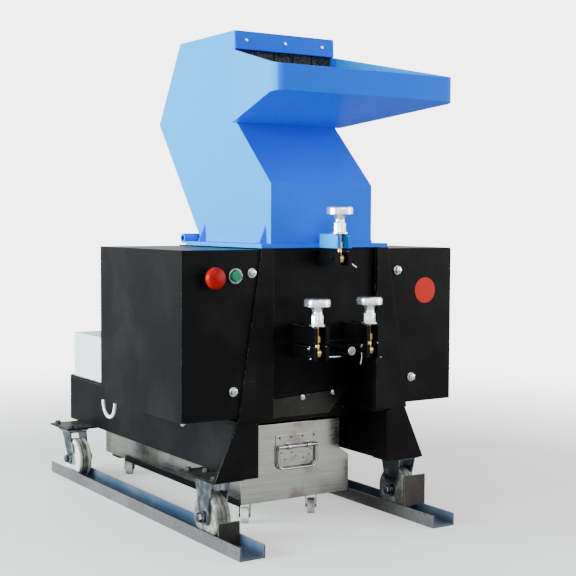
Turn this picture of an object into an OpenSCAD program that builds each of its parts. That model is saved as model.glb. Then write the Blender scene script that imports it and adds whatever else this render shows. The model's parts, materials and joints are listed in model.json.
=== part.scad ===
// Plastic crusher on floor rails: a blue tilting hopper with a feed tray over a
// black cutting chamber, belt guards on both sides, and a roll-out bin below.
// Millimetres. X across, front is -Y, Z up, ground at Z = 0.

/* [Rails and wheels] */
// Distance of each rail's middle from the centre line
rail_x = 220; // [205:1:240]
// Width of a rail channel
rail_w = 54; // [50:1:60]
// Height of a rail channel
rail_h = 25; // [18:1:34]
// Wall thickness of a rail channel
rail_t = 4; // [3:0.5:6]
// How far the rails run out in front of the frame
rail_front = 96; // [60:1:160]
// How far back the rails run
rail_back = 798; // [760:1:840]
// Diameter of a main wheel
wheel_d = 90; // [80:1:100]
// Width of a main wheel
wheel_w = 32; // [26:1:36]
// Diameter of a main wheel's axle
axle_d = 12; // [10:0.5:14]

/* [Base frame] */
// Half the width of the base frame
base_x = 190; // [180:1:200]
// Height of the underside of the base frame
base_low = 122; // [116:1:130]
// Height of the top of the base side beams
base_top = 224; // [216:1:232]
// Depth of the base frame
base_depth = 816; // [780:1:860]
// Sheet thickness of the base frame
base_t = 5; // [4:0.5:8]
// Half the clear width between the legs
leg_in = 155; // [148:1:160]
// Half the width across the feet of the front legs
leg_foot = 244; // [232:1:256]
// Thickness of the deck plate
deck_t = 5; // [4:0.5:8]
// How far the middle of the front is set back behind the legs
recess = 92; // [80:1:110]

/* [Cutting chamber] */
// Half the clear width of the cutting chamber
wall_x = 118; // [108:1:122]
// Thickness of the chamber's side walls
wall_t = 14; // [10:1:18]
// Height of the top of the chamber
chamber_top = 552; // [530:1:580]
// Depth of the chamber over its walls
chamber_back = 292; // [284:1:300]
// Height of the rotor's axis and of the split line
rotor_z = 371; // [360:1:380]
// Distance of the rotor's axis behind the frame's front
rotor_y = 158; // [155:1:162]
// Cutting radius of the rotor
rotor_r = 74; // [68:1:75]
// Inner radius of the screen
screen_r = 78; // [76:1:80]
// Number of blade discs along the rotor
blade_count = 9; // [5:2:11]

/* [Belt guards] */
// Half the width over both guards
guard_x = 312; // [300:1:330]
// Depth of the guards
guard_depth = 355; // [330:1:380]
// Height of the underside of the guards
guard_low = 238; // [234:1:250]
// Height of the top of the guards
guard_top = 550; // [520:1:552]
// Sheet thickness of the guards
guard_t = 3; // [2:0.5:5]

/* [Hopper] */
// Half the width of the hopper
hopper_x = 117; // [112:1:122]
// Sheet thickness of the hopper
hopper_t = 3; // [2:0.5:4]
// Thickness of the hopper's bottom flange
flange_t = 8; // [6:0.5:10]
// Half the width of the bottom flange
flange_x = 147; // [140:1:152]
// Height of the hopper above its flange
hopper_h = 415; // [380:1:440]
// How far the tray's lip stands in front of the frame
tray_front = 138; // [110:1:170]
// Half the width of the tray at its lip
tray_x = 200; // [185:1:210]
// Height of the tray's lip
lip_h = 45; // [35:1:55]

/* [Clamps] */
// Distance of each side clamp from the centre line
clamp_x = 60; // [54:1:66]
// Diameter of the swing bolts' rods
rod_d = 7; // [6:0.5:9]
// Diameter of a clamp knob's cap
knob_d = 50; // [44:1:54]
// Height of a clamp knob
knob_h = 51; // [46:1:56]

/* [Bin] */
// Half the width of the bin's lower part
bin_x = 129; // [120:1:134]
// Half the width of the bin's upper part
bin_top_x = 106; // [98:1:108]
// Height of the bin's rim
bin_rim = 200; // [190:1:201]
// Length of the bin
bin_len = 643; // [600:1:660]
// Height of the underside of the bin
bin_low = 46; // [44:1:50]

/* [Rear deck] */
// Radius of the motor over its fins
motor_r = 86; // [80:1:88]
// Length of the motor
motor_len = 200; // [180:1:216]
// Distance of the motor's axis from the back of the frame
motor_back = 176; // [165:1:185]
// Width of the control cabinet
cabinet_w = 88; // [80:1:90]
// Length of the control cabinet
cabinet_len = 188; // [170:1:200]
// Height of the control cabinet
cabinet_h = 104; // [90:1:120]
// Distance of the control cabinet from the back of the frame
cabinet_back = 18; // [10:1:24]
// Width of the belt guard behind the right guard
tail_w = 92; // [86:1:98]
// Height of the belt guard behind the right guard
tail_h = 190; // [180:1:210]

/* [Buttons] */
// Diameter of the stop button's head
stop_d = 40; // [36:1:44]
// Diameter of the start button's ring
ring_d = 29; // [26:1:32]

/* [Hidden] */
$fn = 48;
y_mid = (base_depth - tray_front) / 2;
wheel_z = rail_t + wheel_d / 2;
front_wheel_y = 52;
rear_fork_y = base_depth - 96;
rear_wheel_y = rear_fork_y - 22;
deck_z = base_top + deck_t;
shell_z = chamber_top + 0.3 + flange_t;
flange_z = chamber_top + 0.3;
hinge_y = chamber_back + 20;
hinge_z = flange_z + 14;
bin_front = recess + 10;
tail_x = guard_x - 20 - tail_w;
motor_y = base_depth - motor_back;
motor_z = deck_z + motor_r + 4;
bin_t = 2;
blue = [0.16, 0.45, 0.82];
black = [0.10, 0.10, 0.12];
zinc = [0.72, 0.74, 0.76];
white = [0.90, 0.93, 0.92];
steel = [0.66, 0.65, 0.62];

// A box between two corners
module slab(x, y, z) {
    translate([x[0], y[0], z[0]]) cube([x[1] - x[0], y[1] - y[0], z[1] - z[0]]);
}
// A round bar along X, between two X values
module bar_x(x, y, z, r) {
    translate([x[0], y, z]) rotate([0, 90, 0]) cylinder(r = r, h = x[1] - x[0]);
}
// A round bar along Y, between two Y values
module bar_y(x, y, z, r) {
    translate([x, y[0], z]) rotate([-90, 0, 0]) cylinder(r = r, h = y[1] - y[0]);
}
// A flat shape drawn in Y and Z, extruded along X between two X values
module side_plate(x, pts) {
    translate([x[0], 0, 0]) rotate([90, 0, 90])
        linear_extrude(height = x[1] - x[0]) polygon(pts);
}
// A flat shape drawn in X and Z, extruded along Y between two Y values
module front_plate(y, pts) {
    translate([0, y[1], 0]) rotate([90, 0, 0])
        linear_extrude(height = y[1] - y[0]) polygon(pts);
}
// The same piece on the other side
module flip(s) {
    if (s < 0) mirror([1, 0, 0]) children();
    else children();
}
module place() {
    translate([0, -y_mid, 0]) children();
}

// Rails and castors
module rail(s) {
    place() translate([s * rail_x, 0, 0]) difference() {
        slab([-rail_w / 2, rail_w / 2], [-rail_front, rail_back], [0, rail_h]);
        slab([-rail_w / 2 + rail_t, rail_w / 2 - rail_t], [-rail_front - 1, rail_back + 1],
            [rail_t, rail_h + 1]);
    }
}
module rail_left() { color([0.50, 0.46, 0.47]) rail(-1); }
module rail_right() { color([0.50, 0.46, 0.47]) rail(1); }

module wheel_chocks() {
    color(black) place() {
        slab([-rail_x - rail_w / 2 + rail_t, -rail_x + rail_w / 2 - rail_t], [-12, -8],
            [rail_t, rail_t + 46]);
        slab([rail_x - rail_w / 2, rail_x + rail_w / 2], [-4, 0], [rail_h, rail_h + 62]);
    }
}

module castor_plates() {
    color(black) place() for (s = [-1, 1]) flip(s) {
        slab([176, 242], [10, 146], [base_low - 4, base_low]);
        slab([160, 258], [rear_fork_y - 48, rear_fork_y + 54], [base_low - 4, base_low]);
    }
}

// A fork leg seen from the side, from its crown down to the axle boss
module fork_leg(x, y_axle, y_crown, crown_w, crown_z) {
    difference() {
        union() {
            side_plate(x, [[y_axle - 14, wheel_z], [y_crown - crown_w / 2, crown_z],
                [y_crown + crown_w / 2, crown_z], [y_axle + 14, wheel_z]]);
            bar_x(x, y_axle, wheel_z, 15);
        }
        bar_x([x[0] - 1, x[1] + 1], y_axle, wheel_z, axle_d / 2 - 1);
    }
}
module fork(y_axle, y_crown, crown_w, crown_z) {
    w = wheel_w / 2 + 1.5;
    for (s = [-1, 1])
        fork_leg(s > 0 ? [w, w + 3] : [-w - 3, -w], y_axle, y_crown, crown_w, crown_z);
    slab([-w - 3, w + 3], [y_crown - crown_w / 2, y_crown + crown_w / 2], [crown_z, crown_z + 3]);
    bar_x([-w - 8, w + 8], y_axle, wheel_z, axle_d / 2 - 1);
    bar_x([-w, w], y_axle, wheel_z, axle_d / 2);
    for (s = [-1, 1]) bar_x(s > 0 ? [w + 3, w + 8] : [-w - 8, -w - 3], y_axle, wheel_z, 9);
}
module front_castor_forks() {
    color(zinc) place() for (s = [-1, 1]) translate([s * rail_x, 0, 0])
        fork(front_wheel_y, front_wheel_y, 62, base_low - 7);
}
// Rear forks turn on a double race below their plates
module rear_castor_forks() {
    color(zinc) place() for (s = [-1, 1]) translate([s * rail_x, 0, 0]) {
        fork(rear_wheel_y, rear_fork_y, 50, base_low - 15);
        translate([0, rear_fork_y, base_low - 12]) {
            cylinder(r = 24, h = 8);
            translate([0, 0, 1]) cylinder(r = 33, h = 2.5);
            translate([0, 0, 4.5]) cylinder(r = 36, h = 2.5);
        }
    }
}
// A wheel with a hub on both sides and two grooves round its tread
module wheel(s, y) {
    w = wheel_w / 2;
    r = wheel_d / 2;
    half = [[axle_d / 2 + 0.05, w + 0.5], [14, w + 0.5], [15, w - 4], [r * 0.72, w - 3],
        [r * 0.78, w], [r - 3, w], [r, w - 3], [r, w * 0.42], [r - 2, w * 0.36], [r - 2, w * 0.26],
        [r, w * 0.2]];
    n = len(half) - 1;
    place() translate([s * rail_x, y, wheel_z]) rotate([0, 90, 0]) rotate_extrude($fn = 64)
        polygon([for (p = half) p, for (i = [n : -1 : 0]) [half[i][0], -half[i][1]]]);
}
module wheel_front_left() { color([0.85, 0.82, 0.72]) wheel(-1, front_wheel_y); }
module wheel_front_right() { color([0.85, 0.82, 0.72]) wheel(1, front_wheel_y); }
module wheel_rear_left() { color([0.85, 0.82, 0.72]) wheel(-1, rear_wheel_y); }
module wheel_rear_right() { color([0.85, 0.82, 0.72]) wheel(1, rear_wheel_y); }

// Base frame
module base_side() {
    difference() {
        slab([leg_in, base_x], [base_t, base_depth], [base_low, base_top]);
        slab([leg_in - 1, base_x - base_t], [base_t + 1, base_depth + 1],
            [base_low + base_t, base_top - base_t]);
    }
}
module base_side_left() { color(black) place() flip(-1) base_side(); }
module base_side_right() { color(black) place() flip(1) base_side(); }

leg_slope = (leg_foot - base_x) / (base_top + 18 - base_low);
module base_leg() {
    top_x = leg_foot - leg_slope * (deck_z - base_low);
    front_plate([0, base_t], [[leg_in, base_low], [leg_foot, base_low], [top_x, deck_z],
        [leg_in, deck_z]]);
    slab([leg_in - base_t, leg_in], [0, 46], [base_low, base_top]);
    slab([leg_in - base_t, leg_in], [46, recess + 40], [base_low + 5, base_top]);
}
module base_leg_left() { color(black) place() flip(-1) base_leg(); }
module base_leg_right() { color(black) place() flip(1) base_leg(); }

module base_front() {
    color(black) place()
        slab([-leg_in + base_t, leg_in - base_t], [recess, recess + base_t], [206, base_top]);
}
module base_rear() {
    color(black) place()
        slab([-leg_in, leg_in], [base_depth - base_t, base_depth], [base_low, base_top]);
}
module deck_plate() {
    color(black) place() {
        difference() {
            slab([-base_x, base_x], [base_t, base_depth], [base_top, deck_z]);
            slab([-wall_x, wall_x], [base_t - 1, recess], [base_top - 1, deck_z + 1]);
            slab([-wall_x + 4, wall_x - 4], [recess + base_t, chamber_back - 24],
                [base_top - 1, deck_z + 1]);
        }
        slab([-wall_x, wall_x], [recess, recess + base_t], [deck_z, deck_z + 33]);
    }
}

// Front legs of the chamber and the chamber's walls
module upper_leg() {
    front_plate([-4, 0], [[wall_x + 2, deck_z], [197, deck_z], [flange_x, chamber_top],
        [wall_x + 2, chamber_top]]);
}
module upper_leg_left() { color(black) place() flip(-1) upper_leg(); }
module upper_leg_right() { color(black) place() flip(1) upper_leg(); }

shaft_r = 20;
module chamber_side() {
    difference() {
        slab([wall_x, wall_x + wall_t], [0, guard_depth], [deck_z, chamber_top]);
        bar_x([wall_x - 1, wall_x + wall_t + 1], rotor_y, rotor_z, shaft_r + 0.2);
    }
}
module chamber_side_left() { color(black) place() flip(-1) chamber_side(); }
module chamber_side_right() { color(black) place() flip(1) chamber_side(); }

module chamber_front() {
    color(black) place() slab([-wall_x, wall_x], [8, 20], [rotor_z, chamber_top]);
}
module chamber_rear() {
    color(black) place() {
        slab([-wall_x, wall_x], [chamber_back - 12, chamber_back], [deck_z, chamber_top]);
        for (s = [-1, 1]) flip(s) {
            side_plate([98, 105], [[chamber_back, chamber_top - 34],
                [chamber_back, chamber_top - 3], [chamber_back + 9, chamber_top - 3],
                [chamber_back + 9, hinge_z + 10], [hinge_y + 10, hinge_z + 10],
                [hinge_y + 10, hinge_z - 16], [chamber_back + 6, chamber_top - 34]]);
            bar_x([105, 138], hinge_y, hinge_z, 6);
        }
    }
}

// Rotor: a shaft with claw blades, each disc turned on from its neighbour
module blade() {
    linear_extrude(height = blade_w) for (k = [0, 120, 240]) rotate(k)
        polygon(rotor_r * [[-0.36, -0.32], [0.36, -0.32], [0.49, 0.21], [0.26, 0.66],
            [0.06, 0.98], [-0.04, 0.98], [-0.23, 0.64], [-0.32, 0.36]]);
}
blade_pitch = 2 * (wall_x - 3) / blade_count;
blade_w = blade_pitch - 3;
module rotor() {
    color(steel) place() {
        bar_x([-guard_x + 40, guard_x - 40], rotor_y, rotor_z, shaft_r);
        bar_x([-wall_x + 3, wall_x - 3], rotor_y, rotor_z, rotor_r * 0.42);
        for (i = [0 : blade_count - 1])
            translate([-wall_x + 3 + blade_pitch * i + 1.5, rotor_y, rotor_z])
                rotate([90, 0, 90]) rotate(i % 2 == 0 ? i * 9 : 60 + i * 9) blade();
        for (s = [-1, 1]) bar_x(s > 0 ? [guard_x - 110, guard_x - 60]
            : [-guard_x + 60, -guard_x + 110], rotor_y, rotor_z, 110);
    }
}
// Slanted knife beds in front of and behind the rotor
module fixed_knives() {
    y0 = rotor_y - rotor_r - 3;
    y1 = rotor_y + rotor_r + 3;
    z = rotor_z + 0.3;
    color(steel) place() {
        side_plate([-wall_x + 1, wall_x - 1], [[20, z], [y0, z], [y0, z + 5], [20, z + 52]]);
        side_plate([-wall_x + 1, wall_x - 1], [[chamber_back - 12, z], [y1, z], [y1, z + 5],
            [chamber_back - 12, z + 38]]);
    }
}
// A half ring under the rotor
module half_ring(x, r0, r1) {
    intersection() {
        difference() {
            bar_x(x, rotor_y, rotor_z, r1, $fn = 96);
            bar_x([x[0] - 1, x[1] + 1], rotor_y, rotor_z, r0, $fn = 96);
        }
        slab([x[0] - 1, x[1] + 1], [0, 400], [100, rotor_z]);
    }
}
module screen() {
    color(steel) place() half_ring([-wall_x + 3, wall_x - 3], screen_r, screen_r + 3);
}
module screen_cradle() {
    r = screen_r + 3;
    y0 = rotor_y - r;
    y1 = recess - 10;
    z = rotor_z - 26;
    color(black) place() {
        difference() {
            union() {
                half_ring([-wall_x + 1, -wall_x + 21], r, r + 5);
                half_ring([wall_x - 21, wall_x - 1], r, r + 5);
                side_plate([-wall_x + 1, wall_x - 1], [[8, z], [y1, z], [y1 + 8, deck_z + 34],
                    [y1 + 12, deck_z + 34], [y1 + 4, z + 14], [y0 + 0.01, rotor_z - 0.3],
                    [8, rotor_z - 0.3]]);
            }
            bar_x([-wall_x, wall_x], rotor_y, rotor_z, r, $fn = 96);
        }
        slab([-wall_x + 1, wall_x - 1], [2 * rotor_y - y0 + 0.2, chamber_back - 12.3],
            [rotor_z - 20, rotor_z - 0.3]);
    }
}
module cradle_handle() {
    color(zinc) place() bar_y(0, [-88, 8], rotor_z - 10, 8);
}
module deflector_plate() {
    color(steel) place()
        front_plate([recess - 3, recess], [[-wall_x + 2, base_top - 10], [wall_x - 46, base_top - 10],
            [wall_x - 4, deck_z + 33], [-wall_x + 2, deck_z + 19]]);
}

// Clamps
top_pivot = [0, -45, chamber_top - 19];
side_pivot = [clamp_x, -60, rotor_z - 13];
top_seat = flange_z + 27;
side_seat = rotor_z + 37;
ear_in = 9;
ear_out = 17;
// Two ears in front of a wall, with room between them for a swing bolt
module ears(x, y, z) {
    for (s = [-1, 1]) slab(s > 0 ? [x + ear_in, x + ear_out] : [x - ear_out, x - ear_in], y, z);
}
// Ears that a knob sits on, rounded in front about the bolt's pivot so that it swings off
module seat_ears(x, y, z, p) {
    ears(x, [p[1], y[1]], z);
    intersection() {
        ears(x, [y[0], p[1]], z);
        bar_x([x - ear_out - 1, x + ear_out + 1], p[1], p[2], z[1] - p[2], $fn = 96);
    }
}
module clamp_ears() {
    color(black) place() {
        ears(0, [-62, 8], [top_pivot[2] - 13, top_pivot[2] + 13]);
        bar_x([-ear_out - 3, ear_out + 3], top_pivot[1], top_pivot[2], 5);
        for (s = [-1, 1]) {
            ears(s * clamp_x, [-76, 8], [side_pivot[2] - 13, side_pivot[2] + 12]);
            seat_ears(s * clamp_x, [-76, 8], [rotor_z + 4, side_seat], side_pivot);
            bar_x([s * clamp_x - ear_out - 3, s * clamp_x + ear_out + 3], side_pivot[1],
                side_pivot[2], 5);
        }
    }
}
// An eye on its pin with a threaded rod up to the knob's seat
module swing_bolt(p, seat) {
    translate([p[0], p[1], 0]) difference() {
        union() {
            bar_x([-4, 4], 0, p[2], 8.5);
            translate([0, 0, p[2] + 6]) cylinder(r1 = 5, r2 = rod_d / 2, h = 12);
            translate([0, 0, p[2] + 17]) cylinder(d = rod_d, h = seat + 18 - p[2] - 17);
            translate([0, 0, p[2] + 20]) cylinder(d = 13, h = 11, $fn = 6);
        }
        bar_x([-7, 7], 0, p[2], 5.05);
    }
}
module swing_bolt_top() { color([0.80, 0.62, 0.34]) place() swing_bolt(top_pivot, top_seat); }
module swing_bolt_left() {
    color([0.80, 0.62, 0.34]) place() swing_bolt([-clamp_x, side_pivot[1], side_pivot[2]], side_seat);
}
module swing_bolt_right() {
    color([0.80, 0.62, 0.34]) place() swing_bolt(side_pivot, side_seat);
}
// A turned knob: a flange, a hexagon, a waist and a cap with a fine groove round it
module knob(p, seat) {
    r = knob_d / 2;
    h = knob_h;
    translate([p[0], p[1], seat + 0.3]) difference() {
        union() {
            rotate_extrude() polygon([[0, 0], [15, 0], [15, 3], [11, 3.5], [11, 20], [9.5, 23],
                [9, 27], [10, 31], [13, 34], [r - 6, h - 15], [r, h - 14], [r, h - 11.2],
                [r - 0.7, h - 10.6], [r, h - 10], [r, h - 3], [r - 0.8, h - 1.4], [r - 3, h],
                [0, h]]);
            translate([0, 0, 3]) cylinder(d = 25, h = 17, $fn = 6);
        }
        translate([0, 0, -1]) cylinder(d = rod_d + 0.1, h = 19.7);
    }
}
module knob_top() { color(white) place() knob(top_pivot, top_seat); }
module knob_left() { color(white) place() knob([-clamp_x, side_pivot[1], 0], side_seat); }
module knob_right() { color(white) place() knob(side_pivot, side_seat); }

// Belt guards
stop_p = [-253, 500];
start_p = [-203, 502];
module guard() {
    x0 = wall_x + wall_t;
    difference() {
        slab([x0, guard_x], [0, guard_depth], [guard_low, guard_top]);
        slab([x0 - 1, guard_x - guard_t], [guard_t, guard_depth - guard_t],
            [guard_low + guard_t, guard_top - guard_t]);
    }
}
module guard_left() {
    color(black) place() difference() {
        flip(-1) guard();
        for (p = [stop_p, start_p]) bar_y(p[0], [-1, guard_t + 1], p[1], 10);
        translate([-guard_x + 8, guard_depth - 51, guard_low - 1])
            cylinder(r = cable_r + 0.4, h = guard_t + 2);
    }
}
module guard_right() {
    tail_y = motor_y + 96;
    tail_top = guard_low + tail_h;
    color(black) place() {
        guard();
        difference() {
            slab([tail_x, tail_x + tail_w], [guard_depth, tail_y], [guard_low, tail_top]);
            slab([tail_x + guard_t, tail_x + tail_w - guard_t],
                [guard_depth + guard_t, tail_y - guard_t], [guard_low + guard_t, tail_top - guard_t]);
            bar_x([tail_x - 1, tail_x + 1 + guard_t], motor_y, motor_z, 17);
        }
    }
}
module button_bezels() {
    color(zinc) place() {
        difference() {
            union() {
                bar_y(stop_p[0], [-8, 0], stop_p[1], 14);
                bar_y(start_p[0], [-5, 0], start_p[1], ring_d / 2);
            }
            for (p = [stop_p, start_p]) bar_y(p[0], [-9, 1], p[1], 10);
        }
    }
}
module stop_button() {
    color([0.85, 0.20, 0.16]) place() translate([stop_p[0], 0, stop_p[1]]) rotate([90, 0, 0])
        rotate_extrude() polygon([[0, 1], [9.5, 1], [9.5, 15], [stop_d / 2 - 1, 15],
            [stop_d / 2, 17], [stop_d / 2, 20], [stop_d / 2 - 3, 26], [stop_d / 2 - 9, 29],
            [0, 30]]);
}
module start_button() {
    color([0.15, 0.55, 0.36]) place() translate([start_p[0], 0, start_p[1]]) rotate([90, 0, 0])
        rotate_extrude() polygon([[0, 1], [9.5, 1], [9.5, 10], [8.5, 11], [0, 11]]);
}

// Hopper
z0 = shell_z;
kink_z = z0 + hopper_h * 0.564;
outer = [[13, z0], [13, z0 + hopper_h * 0.272], [140, kink_z], [152, z0 + hopper_h],
    [380, z0 + hopper_h], [478, z0 + hopper_h * 0.605], [285, z0]];
function lerp(a, b, z) = a[0] + (b[0] - a[0]) * (z - a[1]) / (b[1] - a[1]);
// The corners of a shape moved in by a wall thickness, found from its neighbouring sides
function unit(v) = v / norm(v);
function inner_corner(p, a, b, d) = let (u = unit(p - a), v = unit(b - p),
    n = [u[1], -u[0]], m = [v[1], -v[0]], k = 1 + n * m) p + d * (n + m) / k;
function shrink(pts, d) = [for (i = [0 : len(pts) - 1])
    inner_corner(pts[i], pts[(i + len(pts) - 1) % len(pts)], pts[(i + 1) % len(pts)], d)];
inner0 = shrink(outer, hopper_t);
mouth_low = kink_z + 3;
mouth_top = z0 + hopper_h - 36;
module hopper_shell() {
    color(blue) place() difference() {
        side_plate([-hopper_x, hopper_x], outer);
        side_plate([-hopper_x + hopper_t, hopper_x - hopper_t], [for (i = [0 : 6])
            i == 0 || i == 6 ? [inner0[i][0], z0 - 1] : inner0[i]]);
        slab([-hopper_x + hopper_t, hopper_x - hopper_t], [100, 160], [mouth_low, mouth_top]);
    }
}
module hopper_flange() {
    x = hopper_x - hopper_t;
    color(blue) place() {
        difference() {
            slab([-flange_x, flange_x], [-2, 298], [flange_z, shell_z]);
            slab([-x, x], [17, 281], [flange_z - 1, shell_z + 1]);
        }
        seat_ears(0, [-62, -2], [flange_z, top_seat], top_pivot);
        for (s = [-1, 1]) flip(s) {
            difference() {
                union() {
                    bar_x([107, flange_x], hinge_y, hinge_z, 10);
                    slab([107, flange_x], [297, hinge_y], [flange_z + 4.5, flange_z + 8]);
                }
                bar_x([106, flange_x + 1], hinge_y, hinge_z, 6.1);
            }
        }
    }
}
// The tray's outline from above, moved in by d
module tray_plan(d) {
    hull() {
        for (s = [-1, 1]) translate([s * (tray_x - 20), -tray_front + 20]) circle(r = 20 - d);
        translate([-hopper_x + d, 138]) square([2 * hopper_x - 2 * d, 40]);
    }
}
lip_low = kink_z + 36;
module hopper_tray() {
    y1 = lerp(outer[2], outer[3], mouth_top);
    color(blue) place() {
        intersection() {
            difference() {
                linear_extrude(height = 1200) tray_plan(0);
                translate([0, 0, -1]) linear_extrude(height = 1300) tray_plan(hopper_t);
            }
            side_plate([-300, 300], [[140, kink_z], [y1, mouth_top - 1],
                [-tray_front - 1, lip_low + lip_h], [-tray_front - 1, lip_low]]);
        }
        intersection() {
            linear_extrude(height = 1200) tray_plan(0);
            side_plate([-300, 300], [[140, kink_z], [140, kink_z + hopper_t],
                [-tray_front - 1, lip_low + hopper_t], [-tray_front - 1, lip_low]]);
        }
    }
}
module guard_strip() {
    ya = lerp(outer[2], outer[3], mouth_top);
    color(blue) place() side_plate([-hopper_x, hopper_x], [[ya, mouth_top], [outer[3][0],
        z0 + hopper_h], [outer[3][0] - 3, z0 + hopper_h], [ya - 3, mouth_top]]);
}
module curtain() {
    n = 5;
    w = 2 * (hopper_x - hopper_t - 1) / n;
    color(black) place() for (i = [0 : n - 1])
        translate([-hopper_x + hopper_t + 1 + w * i, 0, 0])
            side_plate([1, w - 1], [[156, kink_z + 8], [159, kink_z + 8],
                [159, z0 + hopper_h - hopper_t - 0.2], [156, z0 + hopper_h - hopper_t - 0.2]]);
}

// Bin
module bin_shape(d) {
    polygon([[-bin_x + d, bin_low + d], [bin_x - d, bin_low + d], [bin_x - d, 122],
        [bin_top_x - d, 138], [bin_top_x - d, bin_rim + d], [-bin_top_x + d, bin_rim + d],
        [-bin_top_x + d, 138], [-bin_x + d, 122]]);
}
module bin_box() {
    color(steel) place() difference() {
        translate([0, bin_front + bin_len, 0]) rotate([90, 0, 0])
            linear_extrude(height = bin_len) bin_shape(0);
        translate([0, bin_front + bin_len - bin_t, 0]) rotate([90, 0, 0])
            linear_extrude(height = bin_len - 2 * bin_t) bin_shape(bin_t);
    }
}
// Black strips along the foot of the bin, joined by two bars below it
module bin_frame() {
    color(black) place() {
        for (s = [-1, 1]) flip(s)
            slab([bin_x, bin_x + 3], [bin_front, bin_front + bin_len - 116], [bin_low - 3, bin_low + 12]);
        for (y = bin_castor_y)
            slab([-bin_x - 3, bin_x + 3], [y - 22, y + 22], [bin_low - 3, bin_low]);
    }
}
bin_castor_y = [bin_front + 43, bin_front + bin_len - 62];
// The castors under the bin, all swivelled the same way
module each_bin_castor() {
    for (x = [-94, 65], y = bin_castor_y) translate([x, y, 0]) rotate(-33) children();
}
module bin_castors() {
    color(white) place() each_bin_castor() difference() {
        bar_x([-8, 8], -10, 16, 16);
        bar_x([-9, 9], -10, 16, 3.05);
    }
}
module bin_castor_forks() {
    color(zinc) place() each_bin_castor() {
        slab([-12, 12], [-12, 12], [bin_low - 7, bin_low - 3]);
        for (s = [-1, 1]) translate([s * 10.5, 0, 0]) side_plate([-1, 1], [[-15, 12],
            [-12, bin_low - 7], [12, bin_low - 7], [-5, 12]]);
        bar_x([-12, 12], -10, 16, 3);
    }
}
bail_y = bin_front - 7;
bail_z = 153;
module handle_plate() {
    color(zinc) place() {
        slab([-49, 49], [bin_front - 2, bin_front], [118, 176]);
        difference() {
            for (x = [-22, 24]) {
                slab([x - 4, x + 4], [bail_y, bin_front - 2], [bail_z - 6, bail_z + 6]);
                bar_x([x - 4, x + 4], bail_y, bail_z, 6);
            }
            bar_x([-30, 30], bail_y, bail_z, 3.55);
        }
    }
}
module bin_handle() {
    r = 11;
    low = 44;
    color(zinc) place() translate([0, bail_y, bail_z]) {
        bar_x([-46, 46], 0, 0, 3.5);
        bar_x([-45 + r, 45 - r], 0, -low, 2.5);
        for (s = [-1, 1]) {
            translate([s * 45, 0, -low + r]) cylinder(r = 2.5, h = low - r);
            translate([s * (45 - r), 0, -low + r]) rotate([90, 0, 0]) rotate(s > 0 ? 270 : 180)
                rotate_extrude(angle = 90) translate([r, 0]) circle(r = 2.5, $fn = 24);
        }
    }
}

// Rear deck
gland_r = 7;
module control_cabinet() {
    x = -base_x + 4;
    y = base_depth - cabinet_back;
    color(white) place() {
        slab([x, x + cabinet_w], [y - cabinet_len, y], [deck_z, deck_z + cabinet_h]);
        slab([x + 6, x + cabinet_w - 6], [y, y + 4], [deck_z + 6, deck_z + cabinet_h - 6]);
        bar_y(x + 40, [y - cabinet_len - 10, y - cabinet_len + 1], deck_z + 16, gland_r);
    }
}
module motor() {
    x0 = tail_x - 66 - motor_len;
    x1 = tail_x - 66;
    color([0.16, 0.30, 0.50]) place() {
        bar_x([x0 + 40, x1 - 14], motor_y, motor_z, motor_r - 9);
        bar_x([x0, x0 + 40], motor_y, motor_z, motor_r);
        bar_x([x1 - 14, x1], motor_y, motor_z, motor_r);
        for (a = [0 : 15 : 345]) translate([0, motor_y, motor_z]) rotate([a, 0, 0])
            slab([x0 + 39, x1 - 13], [-1.5, 1.5], [motor_r - 12, motor_r - 1]);
        bar_x([x1, tail_x + 40], motor_y, motor_z, 14);
        bar_x([tail_x + 12, tail_x + 62], motor_y, motor_z, 46);
        for (s = [-1, 1]) slab([x0 + 48, x1 - 30], s > 0 ? [motor_y + 52, motor_y + 76]
            : [motor_y - 76, motor_y - 52], [deck_z, deck_z + 56]);
        slab([x0 + 60, x1 - 60], [motor_y + 60, motor_y + 112], [motor_z - 20, motor_z + 44]);
    }
}
// A cable that hangs in a loop below the left guard, runs along the guard's rear wall and
// lies on the deck up to the cabinet's gland. The route's points are chosen by hand.
cable_r = 3.5;
cable_route = [
    [-304, 304, 258], [-304, 304, 245], [-304, 304, 232], [-304, 308, 218], [-304, 318, 207.5],
    [-304, 332.5, 203.5], [-304, 347, 207.5], [-304, 357, 218], [-304, 361, 232],
    [-304, 361, 244], [-304, 361, 256], [-300, 361, 270], [-290, 361, 280], [-276, 361, 284],
    [-258, 361, 284], [-240, 361, 284], [-222, 361, 284], [-205, 361, 284], [-188, 361, 284],
    [-172, 361, 283], [-158, 365, 281], [-148, 375, 277.5], [-144, 389, 271], [-143, 403, 261],
    [-142, 417, 250], [-142, 431, 241], [-142, 446, 235], [-142, 462, 232.8], [-143, 479, 232.6],
    [-144, 496, 232.6], [-145, 513, 232.6], [-146, 530, 232.8], [-146, 546, 235],
    [-146, 561, 239.5], [-146, 575, 243.5], [-146, 588, 245], [-146, 600, 245]];
function unit(v) = v / norm(v);
function heading(path, i) =
    unit(path[min(i + 1, len(path) - 1)] - path[max(i - 1, 0)]);
function square_to(v, d) = unit(v - (v * d) * d);
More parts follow.
